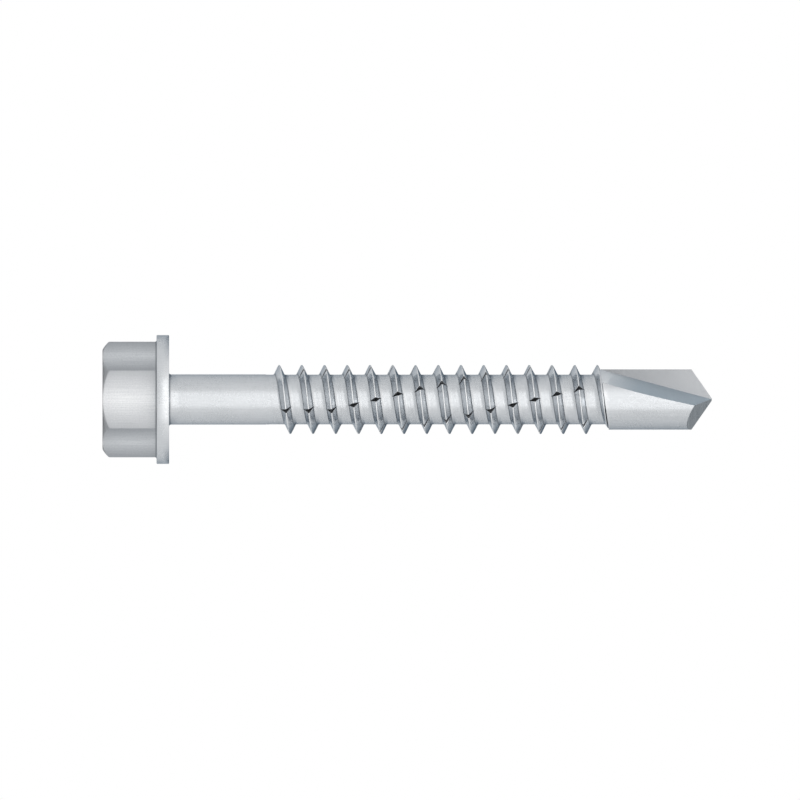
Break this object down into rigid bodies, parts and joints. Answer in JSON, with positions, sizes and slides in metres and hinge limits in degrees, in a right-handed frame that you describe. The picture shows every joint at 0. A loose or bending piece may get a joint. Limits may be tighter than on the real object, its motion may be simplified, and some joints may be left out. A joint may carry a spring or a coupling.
{
  "type": "self drilling screw",
  "caption": "Self-drilling screw with a hexagon flange head, a plain shank, a coarse tapping thread with notched crests and a fluted drill point.",
  "frame": {"origin": "centre of the flat end of the head, on the screw's axis", "axes": "+Z along the axis from the head to the drill point; the hexagon's corners lie on +X and -X; the first full crest of the thread lies on the -X side"},
  "size_m": [0.0102, 0.0102, 0.0485],
  "materials": {
    "plated_steel": "smooth, bright zinc plating"
  },
  "bodies": {
    "root": {"screw": "plated_steel"}
  },
  "joints": []
}
